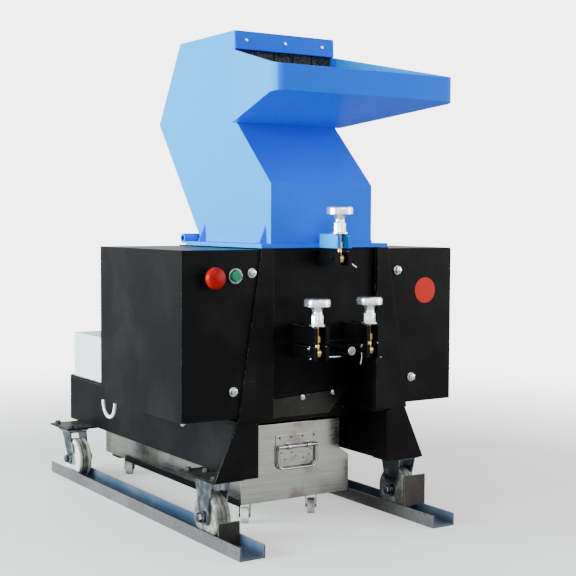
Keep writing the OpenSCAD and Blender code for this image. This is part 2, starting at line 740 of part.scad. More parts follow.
module sweep(path, r, sides = 10) {
    n = len(path);
    sideways = [for (i = 0, u = square_to([1, 0, 0], heading(path, 0)); i < n;
        i = i + 1, u = square_to(u, heading(path, min(i, n - 1)))) u];
    rings = [for (i = [0 : n - 1]) for (k = [0 : sides - 1])
        path[i] + r * cos(360 * k / sides) * sideways[i]
            + r * sin(360 * k / sides) * cross(heading(path, i), sideways[i])];
    walls = [for (i = [0 : n - 2]) for (k = [0 : sides - 1]) let (m = (k + 1) % sides)
        [i * sides + k, (i + 1) * sides + k, (i + 1) * sides + m, i * sides + m]];
    ends = [[for (k = [0 : sides - 1]) k], [for (k = [sides - 1 : -1 : 0]) (n - 1) * sides + k]];
    polyhedron(points = rings, faces = concat(walls, ends), convexity = 6);
}
module cable_loop() { color(white) place() sweep(cable_route, cable_r); }

rail_left();
rail_right();
wheel_chocks();
castor_plates();
front_castor_forks();
rear_castor_forks();
wheel_front_left();
wheel_front_right();
wheel_rear_left();
wheel_rear_right();
base_side_left();
base_side_right();
base_leg_left();
base_leg_right();
base_front();
base_rear();
deck_plate();
upper_leg_left();
upper_leg_right();
chamber_side_left();
chamber_side_right();
chamber_front();
chamber_rear();
rotor();
fixed_knives();
screen();
screen_cradle();
cradle_handle();
deflector_plate();
clamp_ears();
swing_bolt_top();
swing_bolt_left();
swing_bolt_right();
knob_top();
knob_left();
knob_right();
guard_left();
guard_right();
button_bezels();
stop_button();
start_button();
hopper_shell();
hopper_flange();
hopper_tray();
guard_strip();
curtain();
bin_box();
bin_frame();
bin_castors();
bin_castor_forks();
handle_plate();
bin_handle();
control_cabinet();
motor();
cable_loop();
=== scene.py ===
"""Looks of the plastic crusher: paint, metal, plastics, small fasteners and the studio."""
import json
import math

import bmesh
import bpy
from mathutils import Matrix, Vector


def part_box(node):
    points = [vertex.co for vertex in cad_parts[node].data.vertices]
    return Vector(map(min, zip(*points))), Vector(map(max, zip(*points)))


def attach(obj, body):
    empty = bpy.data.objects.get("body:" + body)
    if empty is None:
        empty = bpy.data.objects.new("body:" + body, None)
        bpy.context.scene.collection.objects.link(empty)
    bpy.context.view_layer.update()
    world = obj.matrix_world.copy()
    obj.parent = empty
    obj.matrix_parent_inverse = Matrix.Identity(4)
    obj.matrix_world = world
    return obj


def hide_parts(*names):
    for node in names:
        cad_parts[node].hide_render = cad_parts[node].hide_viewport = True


bl_info = {
    "name": "Plastic Crusher Looks",
    "version": (1, 0, 0),
    "blender": (4, 5, 0),
    "location": "View3D > Sidebar > Crusher",
    "description": "Dresses the plastic crusher with its finishes, fasteners and studio",
    "category": "Object",
}

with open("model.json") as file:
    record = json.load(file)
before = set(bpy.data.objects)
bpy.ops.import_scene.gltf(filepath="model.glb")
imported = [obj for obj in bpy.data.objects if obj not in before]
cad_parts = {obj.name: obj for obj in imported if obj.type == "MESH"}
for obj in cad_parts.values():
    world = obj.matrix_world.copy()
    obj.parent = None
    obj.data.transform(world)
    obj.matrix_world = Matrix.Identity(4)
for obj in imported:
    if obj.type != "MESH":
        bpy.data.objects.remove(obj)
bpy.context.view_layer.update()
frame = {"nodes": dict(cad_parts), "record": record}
BODIES = frame["record"]["behaviour"]["bodies"]
BODY_OF = {node: body for body, nodes in BODIES.items() for node in nodes}
FRONT_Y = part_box("guard_left")[0][1]


def place(x, y, z):
    """A point in metres from millimetres across, behind the guards' front, and up."""
    return Vector((x / 1000, FRONT_Y + y / 1000, z / 1000))


# Colours and sizes that a user would change


def colour_prop(name, description, default):
    return bpy.props.FloatVectorProperty(
        name=name, description=description, default=default, size=3, min=0, max=1, subtype="COLOR"
    )


class CrusherFinish(bpy.types.PropertyGroup):
    """Colours of the crusher's finishes"""

    blue_paint: colour_prop("Hopper blue", "Paint of the hopper and tray", (0.0, 0.152, 0.980))
    # Lighter blue for the hopper's sideways faces: painted light where the key light falls on its
    # flat sides
    blue_painted_light: colour_prop("Flank blue", "Paint on the hopper's flat sides", (0.0, 0.350, 0.900))
    black_paint: colour_prop("Frame black", "Frame and guards", (0.0028, 0.0027, 0.0032))
    mill_steel: colour_prop("Rail steel", "Bare steel of the rails", (0.105, 0.100, 0.108))
    # Dark blue for the rails' inner faces: a painted reflection of the blue hopper, darker than the
    # bare steel as painted shade inside the channel
    rail_painted_reflection: colour_prop("Rail scale", "Blue scale inside the rails", (0.036, 0.082, 0.165))
    dark_steel: colour_prop("Dark steel", "Raw plates at the wheels", (0.022, 0.020, 0.019))
    zinc: colour_prop("Zinc", "Plating of the castors", (0.120, 0.145, 0.165))
    stainless: colour_prop("Stainless", "Steel of the bin", (0.50, 0.485, 0.450))
    nylon: colour_prop("Nylon", "Castor wheels", (0.82, 0.81, 0.74))
    brass: colour_prop("Yellow zinc", "Swing bolts", (0.76, 0.50, 0.20))
    silver: colour_prop("Knob silver", "Turned clamp knobs", (0.95, 0.97, 0.98))
    red: colour_prop("Red", "Plain round disc", (0.64, 0.018, 0.012))
    stop: colour_prop("Stop red", "Stop button", (0.38, 0.005, 0.003))
    green: colour_prop("Green", "Start button", (0.012, 0.26, 0.115))
    white: colour_prop("Cabinet white", "Control cabinet and cable", (0.88, 0.95, 0.95))
    motor: colour_prop("Motor blue", "Paint of the motor", (0.030, 0.095, 0.250))
    dust: colour_prop("Dust", "Dust that settles on the machine", (0.42, 0.40, 0.37))


class CrusherSizes(bpy.types.PropertyGroup):
    """Sizes of the small pieces"""

    edge: bpy.props.FloatProperty(
        name="Edge rounding", description="Rounding of sheet and plate edges", default=0.0009,
        min=0.0002, max=0.004, unit="LENGTH",
    )
    cover_bolt: bpy.props.FloatProperty(
        name="Cover bolt", description="Width across flats of the cover bolts", default=0.013,
        min=0.010, max=0.020, unit="LENGTH",
    )
    disc: bpy.props.FloatProperty(
        name="Red disc", description="Diameter of the plain red disc", default=0.052,
        min=0.03, max=0.08, unit="LENGTH",
    )


class CrusherStudio(bpy.types.PropertyGroup):
    """Camera and lights"""

    fill: bpy.props.FloatProperty(
        name="Fill", description="Strength of the surrounding light", default=0.20, min=0, max=2
    )
    shine: bpy.props.FloatProperty(
        name="Shine", description="Strength of the surroundings in reflections", default=1.8, min=0,
        max=4,
    )
    lens: bpy.props.FloatProperty(
        name="Lens", description="Focal length for a 36 mm sensor", default=74.48, min=20, max=200
    )
    azimuth: bpy.props.FloatProperty(
        name="Azimuth", description="Turn of the view from the front to the left",
        default=math.radians(32.62), subtype="ANGLE",
    )
    elevation: bpy.props.FloatProperty(
        name="Elevation", description="Tilt of the view below the horizon",
        default=math.radians(3.31), subtype="ANGLE",
    )
    roll: bpy.props.FloatProperty(
        name="Roll", description="Lean of the camera", default=math.radians(0.26), subtype="ANGLE"
    )
    key: bpy.props.FloatProperty(
        name="Key light", description="Power of the large light on the left", default=420, min=0
    )


# Shader node groups that several finishes share


def new_group(name, inputs, outputs):
    group = bpy.data.node_groups.new(name, "ShaderNodeTree")
    for label, kind, default in inputs:
        socket = group.interface.new_socket(label, in_out="INPUT", socket_type=kind)
        socket.default_value = default
    for label, kind in outputs:
        group.interface.new_socket(label, in_out="OUTPUT", socket_type=kind)
    return group, group.nodes.new("NodeGroupInput"), group.nodes.new("NodeGroupOutput")


def noise(tree, vector, scale, detail=3.0, rough=0.55):
    node = tree.nodes.new("ShaderNodeTexNoise")
    node.inputs["Detail"].default_value = detail
    node.inputs["Roughness"].default_value = rough
    if isinstance(scale, (int, float)):
        node.inputs["Scale"].default_value = scale
    else:
        tree.links.new(scale, node.inputs["Scale"])
    tree.links.new(vector, node.inputs["Vector"])
    return node.outputs["Fac"]


def maths(tree, operation, a, b=None, clamp=False):
    node = tree.nodes.new("ShaderNodeMath")
    node.operation = operation
    node.use_clamp = clamp
    for socket, value in zip(node.inputs, (a, b)):
        if isinstance(value, (int, float)):
            socket.default_value = value
        elif value is not None:
            tree.links.new(value, socket)
    return node.outputs[0]


def ramp(tree, value, low, high, out_low=0.0, out_high=1.0):
    node = tree.nodes.new("ShaderNodeMapRange")
    node.interpolation_type = "SMOOTHSTEP"
    for socket, number in zip(node.inputs[1:5], (low, high, out_low, out_high)):
        if isinstance(number, (int, float)):
            socket.default_value = number
        else:
            tree.links.new(number, socket)
    tree.links.new(value, node.inputs[0])
    return node.outputs[0]


def mix(tree, factor, a, b):
    node = tree.nodes.new("ShaderNodeMix")
    node.data_type = "RGBA"
    for socket, value in ((node.inputs[0], factor), (node.inputs[6], a), (node.inputs[7], b)):
        if isinstance(value, bpy.types.NodeSocket):
            tree.links.new(value, socket)
        else:
            socket.default_value = value
    return node.outputs[2]


def build_wear_group():
    """Worn edges, smudges, scratches and settled dust over any hard finish"""
    group, inp, out = new_group(
        "worn surface",
        [
            ("Vector", "NodeSocketVector", (0, 0, 0)),
            ("Color", "NodeSocketColor", (0.5, 0.5, 0.5, 1)),
            ("Worn Color", "NodeSocketColor", (0.3, 0.3, 0.3, 1)),
            ("Dust Color", "NodeSocketColor", (0.4, 0.4, 0.4, 1)),
            ("Edge", "NodeSocketFloat", 0.0),
            ("Wear", "NodeSocketFloat", 0.4),
            ("Dust", "NodeSocketFloat", 0.3),
            ("Smudge", "NodeSocketFloat", 0.15),
            ("Roughness", "NodeSocketFloat", 0.4),
        ],
        [("Color", "NodeSocketColor"), ("Roughness", "NodeSocketFloat"),
         ("Worn", "NodeSocketFloat"), ("Height", "NodeSocketFloat")],
    )
    links = group.links
    vector = inp.outputs["Vector"]
    broad = noise(group, vector, 7.0, 4.0, 0.6)
    patch = noise(group, vector, 32.0, 4.0, 0.6)
    fine = noise(group, vector, 240.0, 3.0, 0.6)
    stretch = group.nodes.new("ShaderNodeMapping")
    stretch.inputs["Scale"].default_value = (18, 18, 420)
    stretch.inputs["Rotation"].default_value = (0.25, 0.18, 0.0)
    links.new(vector, stretch.inputs["Vector"])
    streak = noise(group, stretch.outputs["Vector"], 1.0, 2.0, 0.5)

    limit = maths(group, "SUBTRACT", 0.86, maths(group, "MULTIPLY", inp.outputs["Wear"], 0.5))
    upper = maths(group, "ADD", limit, 0.12)
    chip = ramp(group, maths(group, "ADD", fine, maths(group, "MULTIPLY", patch, 0.35)), limit,
                upper)
    worn = maths(group, "MULTIPLY", chip, inp.outputs["Edge"], clamp=True)
    scratch = maths(group, "MULTIPLY", ramp(group, streak, 0.71, 0.76),
                    ramp(group, broad, 0.5, 0.62))
    worn = maths(group, "MAXIMUM", worn, maths(group, "MULTIPLY", scratch, 0.35))

    normal = group.nodes.new("ShaderNodeNewGeometry").outputs["Normal"]
    split = group.nodes.new("ShaderNodeSeparateXYZ")
    links.new(normal, split.inputs[0])
    up = ramp(group, split.outputs["Z"], 0.3, 0.95)
    dust = maths(group, "MULTIPLY", up, ramp(group, patch, 0.30, 0.70, 0.35, 1.0))
    haze = maths(group, "MULTIPLY", ramp(group, broad, 0.42, 0.75), 0.16)
    dust = maths(group, "MULTIPLY", maths(group, "ADD", dust, haze), inp.outputs["Dust"],
                 clamp=True)

    smudge = maths(group, "MULTIPLY", ramp(group, broad, 0.35, 0.7), inp.outputs["Smudge"])
    tone = mix(group, smudge, inp.outputs["Color"], inp.outputs["Dust Color"])
    worn_tone = mix(group, worn, tone, inp.outputs["Worn Color"])
    links.new(mix(group, dust, worn_tone, inp.outputs["Dust Color"]), out.inputs["Color"])

    rough = maths(group, "ADD", inp.outputs["Roughness"],
                  maths(group, "MULTIPLY", maths(group, "SUBTRACT", patch, 0.5), 0.16))
    rough = maths(group, "ADD", rough, maths(group, "MULTIPLY", dust, 0.4), clamp=True)
    links.new(rough, out.inputs["Roughness"])
    links.new(worn, out.inputs["Worn"])
    height = maths(group, "SUBTRACT", maths(group, "MULTIPLY", fine, 0.12),
                   maths(group, "MULTIPLY", worn, 0.8))
    links.new(height, out.inputs["Height"])
    return group


def build_brushed_group():
    """Fine parallel lines of brushed or turned metal"""
    group, inp, out = new_group(
        "brushed metal",
        [("Vector", "NodeSocketVector", (0, 0, 0)), ("Stretch", "NodeSocketVector", (4, 400, 400)),
         ("Color", "NodeSocketColor", (0.6, 0.6, 0.6, 1)), ("Roughness", "NodeSocketFloat", 0.3)],
        [("Color", "NodeSocketColor"), ("Roughness", "NodeSocketFloat"),
         ("Height", "NodeSocketFloat")],
    )
    links = group.links
    product = group.nodes.new("ShaderNodeVectorMath")
    product.operation = "MULTIPLY"
    links.new(inp.outputs["Vector"], product.inputs[0])
    links.new(inp.outputs["Stretch"], product.inputs[1])
    line = noise(group, product.outputs[0], 1.0, 3.0, 0.6)
    cloud = noise(group, inp.outputs["Vector"], 9.0, 3.0, 0.6)
    shade = ramp(group, line, 0.3, 0.7, 0.86, 1.06)
    scale = group.nodes.new("ShaderNodeVectorMath")
    scale.operation = "SCALE"
    links.new(inp.outputs["Color"], scale.inputs[0])
    links.new(shade, scale.inputs["Scale"])
    links.new(scale.outputs[0], out.inputs["Color"])
    rough = maths(group, "ADD", inp.outputs["Roughness"],
                  maths(group, "MULTIPLY", maths(group, "SUBTRACT", line, 0.5), 0.22))
    rough = maths(group, "ADD", rough,
                  maths(group, "MULTIPLY", maths(group, "SUBTRACT", cloud, 0.5), 0.2), clamp=True)
    links.new(rough, out.inputs["Roughness"])
    links.new(line, out.inputs["Height"])
    return group


def build_grime_group():
    """Streaked dark dirt that a rolling wheel picks up"""
    group, inp, out = new_group(
        "rolling grime",
        [("Vector", "NodeSocketVector", (0, 0, 0)),
         ("Color", "NodeSocketColor", (0.8, 0.8, 0.7, 1)),
         ("Grime Color", "NodeSocketColor", (0.06, 0.05, 0.04, 1)),
         ("Start", "NodeSocketFloat", 0.6)],
        [("Color", "NodeSocketColor")],
    )
    vector = inp.outputs["Vector"]
    broad = noise(group, vector, 26.0, 5.0, 0.65)
    fine = noise(group, vector, 120.0, 4.0, 0.6)
    amount = ramp(group, maths(group, "ADD", broad, maths(group, "MULTIPLY", fine, 0.3)),
                  inp.outputs["Start"], maths(group, "ADD", inp.outputs["Start"], 0.30))
    amount = maths(group, "MULTIPLY", amount, 0.85)
    group.links.new(mix(group, amount, inp.outputs["Color"], inp.outputs["Grime Color"]),
                    out.inputs["Color"])
    return group


GROUPS = {}
MATERIALS = {}


def rgba(colour):
    return (*colour, 1.0)


def finish(name, colour, rough, metal=0.0, worn=(0.25, 0.24, 0.23), wear=0.4, dust=0.3, smudge=0.12,
           bump=0.2, brushed=None, specular=0.5, grain=None, grime=None, grime_start=0.6,
           relief=0.0006, stain_and_sheen=None, stain_and_sheen_scale=14.0, stain_and_sheen_from=0.52):
    """A material whose colour and roughness come from the shared wear group"""
    material = bpy.data.materials.new(name)
    material.use_nodes = True
    tree = material.node_tree
    shader = tree.nodes["Principled BSDF"]
    where = tree.nodes.new("ShaderNodeTexCoord").outputs["Object"]
    edge = tree.nodes.new("ShaderNodeAttribute")
    edge.attribute_name = "edge"
    body = tree.nodes.new("ShaderNodeGroup")
    body.node_tree = GROUPS["worn"]
    finish_of = bpy.context.scene.crusher_finish
    tree.links.new(where, body.inputs["Vector"])
    tree.links.new(edge.outputs["Fac"], body.inputs["Edge"])
    for label, value in (("Worn Color", rgba(worn)), ("Dust Color", rgba(finish_of.dust)),
                         ("Wear", wear), ("Dust", dust), ("Smudge", smudge), ("Roughness", rough)):
        body.inputs[label].default_value = value
    body.inputs["Color"].default_value = rgba(colour)
    height = body.outputs["Height"]
    if brushed:
        lines = tree.nodes.new("ShaderNodeGroup")
        lines.node_tree = GROUPS["brushed"]
        lines.inputs["Stretch"].default_value = brushed
        lines.inputs["Color"].default_value = rgba(colour)
        lines.inputs["Roughness"].default_value = rough
        tree.links.new(where, lines.inputs["Vector"])
        tree.links.new(lines.outputs["Color"], body.inputs["Color"])
        tree.links.new(lines.outputs["Roughness"], body.inputs["Roughness"])
        height = maths(tree, "ADD", height, maths(tree, "MULTIPLY", lines.outputs["Height"], 0.25))
    if grain:
        height = maths(tree, "ADD", height, maths(tree, "MULTIPLY", noise(tree, where, grain), 0.6))
    colour = body.outputs["Color"]
    if grime:
        dirt = tree.nodes.new("ShaderNodeGroup")
        dirt.node_tree = GROUPS["grime"]
        dirt.inputs["Grime Color"].default_value = rgba(grime)
        dirt.inputs["Start"].default_value = grime_start
        tree.links.new(where, dirt.inputs["Vector"])
        tree.links.new(colour, dirt.inputs["Color"])
        colour = dirt.outputs["Color"]
    # Noise patches of a second colour: real stains on the bin and rails, and on the zinc, light
    # patches that are painted highlights
    if stain_and_sheen:
        spread = ramp(tree, noise(tree, where, stain_and_sheen_scale, 5.0, 0.62), stain_and_sheen_from,
                      stain_and_sheen_from + 0.22, 0.0, 0.75)
        colour = mix(tree, spread, colour, rgba(stain_and_sheen))
    raised = tree.nodes.new("ShaderNodeBump")
    raised.inputs["Strength"].default_value = bump
    raised.inputs["Distance"].default_value = relief
    tree.links.new(height, raised.inputs["Height"])
    tree.links.new(colour, shader.inputs["Base Color"])
    tree.links.new(body.outputs["Roughness"], shader.inputs["Roughness"])
    tree.links.new(raised.outputs["Normal"], shader.inputs["Normal"])
    shader.inputs["Specular IOR Level"].default_value = specular
    if metal == 0.0 and worn[0] > 0.2 and wear > 0.25:
        tree.links.new(body.outputs["Worn"], shader.inputs["Metallic"])
    else:
        shader.inputs["Metallic"].default_value = metal
    MATERIALS[name] = material
    return material


def make_finishes():
    """All materials, named for what they cover"""
    GROUPS["worn"] = build_wear_group()
    GROUPS["brushed"] = build_brushed_group()
    GROUPS["grime"] = build_grime_group()
    colours = bpy.context.scene.crusher_finish
    finish("black_paint", colours.black_paint, 0.38, worn=(0.07, 0.07, 0.075), wear=0.30, dust=0.10,
           smudge=0.003, specular=0.065, grain=500, bump=0.08)
    finish("blue_paint", colours.blue_paint, 0.34, worn=(0.10, 0.30, 0.75), wear=0.18, dust=0.03,
           smudge=0.0, specular=0.05, grain=400, bump=0.06)
    # Painted light: the hopper blue made lighter and greener on sideways faces, where the key light
    # falls
    finish("blue_painted_light", colours.blue_painted_light, 0.34, worn=(0.10, 0.30, 0.75), wear=0.18, dust=0.03,
           smudge=0.0, specular=0.03, grain=400, bump=0.06)
    finish("mill_steel", colours.mill_steel, 0.55, metal=0.10, worn=(0.18, 0.155, 0.14), wear=0.5,
           dust=0.15, smudge=0.20, grain=500, specular=0.15, stain_and_sheen=(0.050, 0.040, 0.040),
           stain_and_sheen_scale=110.0)
    # Painted reflection and painted shade: dark blue on the rails' inner faces
    finish("rail_painted_reflection", colours.rail_painted_reflection, 0.50, metal=0.1, worn=(0.18, 0.155, 0.14), wear=0.4,
           dust=0.12, smudge=0.20, grain=500, specular=0.15)
    finish("dark_steel", colours.dark_steel, 0.45, metal=0.1, worn=(0.20, 0.15, 0.11), wear=0.5,
           dust=0.08, smudge=0.10, grain=500, specular=0.2)
    # The light noise patches on the zinc are painted highlights on the zinc parts
    finish("zinc_steel", colours.zinc, 0.20, metal=1.0, worn=(0.33, 0.31, 0.28), wear=0.3,
           dust=0.04, smudge=0.0, stain_and_sheen=(0.50, 0.56, 0.60), stain_and_sheen_scale=38.0, stain_and_sheen_from=0.44)
    finish("bright_zinc", (0.55, 0.58, 0.59), 0.14, metal=1.0, wear=0.1, dust=0.0, smudge=0.0)
    finish("nylon", colours.nylon, 0.42, worn=(0.20, 0.17, 0.12), wear=0.2, dust=0.05, smudge=0.12,
           specular=0.25, grime=(0.085, 0.085, 0.060), grime_start=0.64)
    finish("rolled_nylon", (0.62, 0.64, 0.55), 0.40, worn=(0.20, 0.17, 0.12), wear=0.2, dust=0.05,
           smudge=0.25, specular=0.3, grime=(0.035, 0.037, 0.030), grime_start=0.44)
    finish("dirty_nylon", (0.50, 0.53, 0.50), 0.36, worn=(0.20, 0.17, 0.12), wear=0.2, dust=0.05,
           smudge=0.25, specular=0.4, grime=(0.045, 0.047, 0.040), grime_start=0.46)
    finish("tool_steel", (0.42, 0.42, 0.43), 0.34, metal=1.0, wear=0.3, dust=0.15, smudge=0.15,
           brushed=(40, 300, 300))
    finish("stainless", colours.stainless, 0.20, metal=1.0, wear=0.2, dust=0.05, smudge=0.10,
           brushed=(5, 5, 260), stain_and_sheen=(0.22, 0.165, 0.115), stain_and_sheen_from=0.50)
    finish("chromed", (0.42, 0.42, 0.41), 0.10, metal=1.0, wear=0.1, dust=0.0, smudge=0.06)
    # Near-black deflector steel: painted shade of the recess under the chamber and a painted dark
    # reflection, in place of bright stainless
    finish("deflector_painted_shade", (0.0115, 0.011, 0.010), 0.34, metal=0.8, wear=0.2, dust=0.05,
           smudge=0.05, stain_and_sheen=(0.045, 0.036, 0.028), stain_and_sheen_scale=9.0)
    finish("yellow_zinc", colours.brass, 0.28, metal=0.9, worn=(0.5, 0.45, 0.36), wear=0.4,
           dust=0.05, smudge=0.08)
    finish("copper", (0.62, 0.26, 0.15), 0.32, metal=0.9, worn=(0.5, 0.3, 0.2), wear=0.3, dust=0.05,
           smudge=0.05)
    finish("knob_silver", colours.silver, 0.20, metal=0.80, worn=(0.7, 0.7, 0.7), wear=0.05,
           dust=0.0, smudge=0.0, brushed=(3, 3, 700), bump=0.08)
    finish("stop_plastic", colours.stop, 0.34, worn=(0.4, 0.05, 0.04), wear=0.1, dust=0.0,
           smudge=0.0, specular=0.10)
    finish("red_plastic", colours.red, 0.34, worn=(0.4, 0.05, 0.04), wear=0.1, dust=0.0, smudge=0.0,
           specular=0.15)
    finish("green_plastic", colours.green, 0.26, worn=(0.05, 0.3, 0.15), wear=0.1, dust=0.03,
           smudge=0.0, specular=0.25)
    finish("white_paint", colours.white, 0.42, worn=(0.45, 0.44, 0.42), wear=0.25, dust=0.05,
           smudge=0.03, grain=800, specular=0.3)
    finish("motor_paint", colours.motor, 0.40, wear=0.35, dust=0.20, smudge=0.06, grain=600,
           specular=0.25)
    finish("black_rubber", (0.004, 0.004, 0.006), 0.12, worn=(0.05, 0.05, 0.05), wear=0.1,
           dust=0.01, smudge=0.01, specular=0.3, grain=34, bump=1.0, relief=0.030)
    finish("white_cable", colours.white, 0.40, worn=(0.4, 0.4, 0.38), wear=0.1, dust=0.06,
           smudge=0.04)
    finish("dark_rivet", (0.05, 0.048, 0.045), 0.35, metal=0.6, wear=0.3, dust=0.1, smudge=0.1)


# Making pieces

# Thickness of a bolt's washer, in metres
WASHER = 0.0022


def keep(bm, name, body, material, smooth_angle=35):
    """Turns a finished bmesh into a piece that rides on a body"""
    mesh = bpy.data.meshes.new(name)
    for face in bm.faces:
        face.smooth = True
    for edge in bm.edges:
        if len(edge.link_faces) == 2:
            edge.smooth = edge.calc_face_angle(0.0) < math.radians(smooth_angle)
    bm.to_mesh(mesh)
    bm.free()
    mesh.materials.append(MATERIALS[material])
    piece = bpy.data.objects.new(name, mesh)
    bpy.context.scene.collection.objects.link(piece)
    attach(piece, body)
    return piece


def dress(node, material, rounding=None, angle=32, second=None, chosen=None):
    """Stands a copy of a CAD node in its place, merged and with rounded, markable edges

    Faces for which chosen(middle, normal) holds take the second finish.
    """
    rounding = rounding or bpy.context.scene.crusher_sizes.edge
    source = frame["nodes"][node]
    bm = bmesh.new()
    bm.from_mesh(source.data)
    bmesh.ops.remove_doubles(bm, verts=bm.verts, dist=2e-5)
    bmesh.ops.dissolve_limit(bm, angle_limit=math.radians(0.6), verts=bm.verts, edges=bm.edges)
    mark = bm.loops.layers.float_color.new("edge")
    sharp = [edge for edge in bm.edges
             if len(edge.link_faces) == 2 and edge.calc_face_angle(0.0) > math.radians(angle)]
    made = bmesh.ops.bevel(bm, geom=sharp, offset=rounding, offset_type="OFFSET", segments=2,
                           profile=0.5, affect="EDGES", clamp_overlap=True, material=-1)
    rounded = set(made["faces"])
    for face in bm.faces:
        value = (1, 1, 1, 1) if face in rounded else (0, 0, 0, 1)
        for loop in face.loops:
            loop[mark] = value
    borders = {edge for face in rounded for edge in face.edges
               if any(other not in rounded for other in edge.link_faces)}
    for face in bm.faces:
        face.smooth = True
    for edge in bm.edges:
        if len(edge.link_faces) == 2:
            edge.smooth = edge not in borders and edge.calc_face_angle(0.0) < math.radians(angle)
    bm.normal_update()
    if second:
        for face in bm.faces:
            face.material_index = int(chosen(face.calc_center_median(), face.normal))
    mesh = bpy.data.meshes.new(node + "_finished")
    bm.to_mesh(mesh)
    bm.free()
    mesh.materials.append(MATERIALS[material])
    if second:
        mesh.materials.append(MATERIALS[second])
    piece = bpy.data.objects.new(node + "_finished", mesh)
    bpy.context.scene.collection.objects.link(piece)
    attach(piece, BODY_OF[node])
    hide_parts(node)
    return piece


def facing(direction):
    """A turn that points local Z along a direction"""
    return Vector(direction).to_track_quat("Z", "Y").to_matrix().to_4x4()


def add_post(bm, at, direction, radius, depth, sides=32, tip=None):
    """A round or many-sided post centred on a point, as wide at its tip unless that is given"""
    verts = bmesh.ops.create_cone(bm, cap_ends=True, segments=sides, radius1=radius,
                                  radius2=tip or radius, depth=depth)["verts"]
    bmesh.ops.transform(bm, verts=verts, matrix=Matrix.Translation(at) @ facing(direction))


def add_block(bm, at, size):
    """A block centred on a point"""
    verts = bmesh.ops.create_cube(bm, size=1)["verts"]
    bmesh.ops.transform(bm, verts=verts,
                        matrix=Matrix.Translation(at) @ Matrix.Diagonal((*size, 1)))


def add_hex_bolt(bm, at, direction, flats, spin=0.0):
    """A washer and a hexagon head with a chamfered crown"""
    turn = Matrix.Translation(at) @ facing(direction) @ Matrix.Rotation(spin, 4, "Z")
    corner = flats / math.sqrt(3)
    washer = bmesh.ops.create_cone(bm, cap_ends=True, segments=32, radius1=corner * 1.18,
                                   radius2=corner * 1.18, depth=WASHER)["verts"]
    bmesh.ops.transform(bm, verts=washer, matrix=turn @ Matrix.Translation((0, 0, WASHER / 2)))
    tall = flats * 0.4
    head = bmesh.ops.create_cone(bm, cap_ends=True, segments=6, radius1=corner, radius2=corner,
                                 depth=tall)["verts"]
    crown = [e for e in {e for v in head for e in v.link_edges}
             if all(v.co.z > 0 for v in e.verts)]
    made = bmesh.ops.bevel(bm, geom=crown, offset=flats * 0.07, segments=2, profile=0.5,
                           affect="EDGES", material=-1)
    head = list({v for v in head if v.is_valid} | set(made["verts"]))
    bmesh.ops.transform(bm, verts=head,
                        matrix=turn @ Matrix.Translation((0, 0, tall / 2 + WASHER)))


def add_wire(bm, points, radius, sides=8):
    """A bent wire through points, closed at both ends"""
    points = [Vector(point) for point in points]
    rings = []
    for i, point in enumerate(points):
        along = points[min(i + 1, len(points) - 1)] - points[max(i - 1, 0)]
        turn = Matrix.Translation(point) @ facing(along)
        rings.append([bm.verts.new(turn @ Vector((radius * math.cos(a), radius * math.sin(a), 0)))
                      for a in (math.tau * k / sides for k in range(sides))])
    for low, high in zip(rings, rings[1:]):
        for k in range(sides):
            bm.faces.new((low[k], low[(k + 1) % sides], high[(k + 1) % sides], high[k]))
    bm.faces.new(list(reversed(rings[0])))
    bm.faces.new(rings[-1])


def add_dome(bm, at, direction, radius, height, segments=16):
    """A rivet's or pan screw's round head"""
    turn = Matrix.Translation(at) @ facing(direction)
    profile = [(radius * math.cos(a), 0, height * math.sin(a))
               for a in (math.pi / 2 * k / 4 for k in range(5))]
    verts = [bm.verts.new(point) for point in profile]
    edges = [bm.edges.new(pair) for pair in zip(verts, verts[1:])]
    made = bmesh.ops.spin(bm, geom=verts + edges, angle=math.tau, steps=segments, use_merge=True,
                          axis=(0, 0, 1), cent=(0, 0, 0), dvec=(0, 0, 0))
    whole = set(verts) | {v for v in made["geom_last"] if isinstance(v, bmesh.types.BMVert)}
    found, queue = set(), [v for v in whole if v.is_valid]
    while queue:
        vert = queue.pop()
        if vert not in found:
            found.add(vert)
            queue += [edge.other_vert(vert) for edge in vert.link_edges]
    bmesh.ops.remove_doubles(bm, verts=list(found), dist=radius * 0.01)
    found = [v for v in found if v.is_valid]
    bmesh.ops.transform(bm, verts=found, matrix=turn)


# Operators, one for each group of pieces


class DressNodes:
    """Shared work of the operators that finish CAD nodes"""

    bl_options = {"REGISTER"}
    nodes = {}

    def execute(self, context):
        for node, material in self.nodes.items():
            dress(node, material)
        return {"FINISHED"}


class FinishRails(DressNodes, bpy.types.Operator):
    """Gives the rails and chocks their steel, with a painted blue reflection and painted shade on
    the rails' inner faces
    """

    bl_idname = "crusher.finish_rails"
    bl_label = "Rails and chocks"
    nodes = {"wheel_chocks": "dark_steel"}

    def execute(self, context):
        for node in ("rail_left", "rail_right"):
            low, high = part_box(node)
            floor = high[2] * 0.2

            # Inner faces of the channel take the painted reflection and shade
            def inside(middle, normal, low=low, high=high, floor=floor):
                within = low[0] + 0.0035 < middle.x < high[0] - 0.0035
                return within and middle.z > floor * 0.7 and middle.z < high[2] - 0.0012

            dress(node, "mill_steel", second="rail_painted_reflection", chosen=inside)
        return super().execute(context)


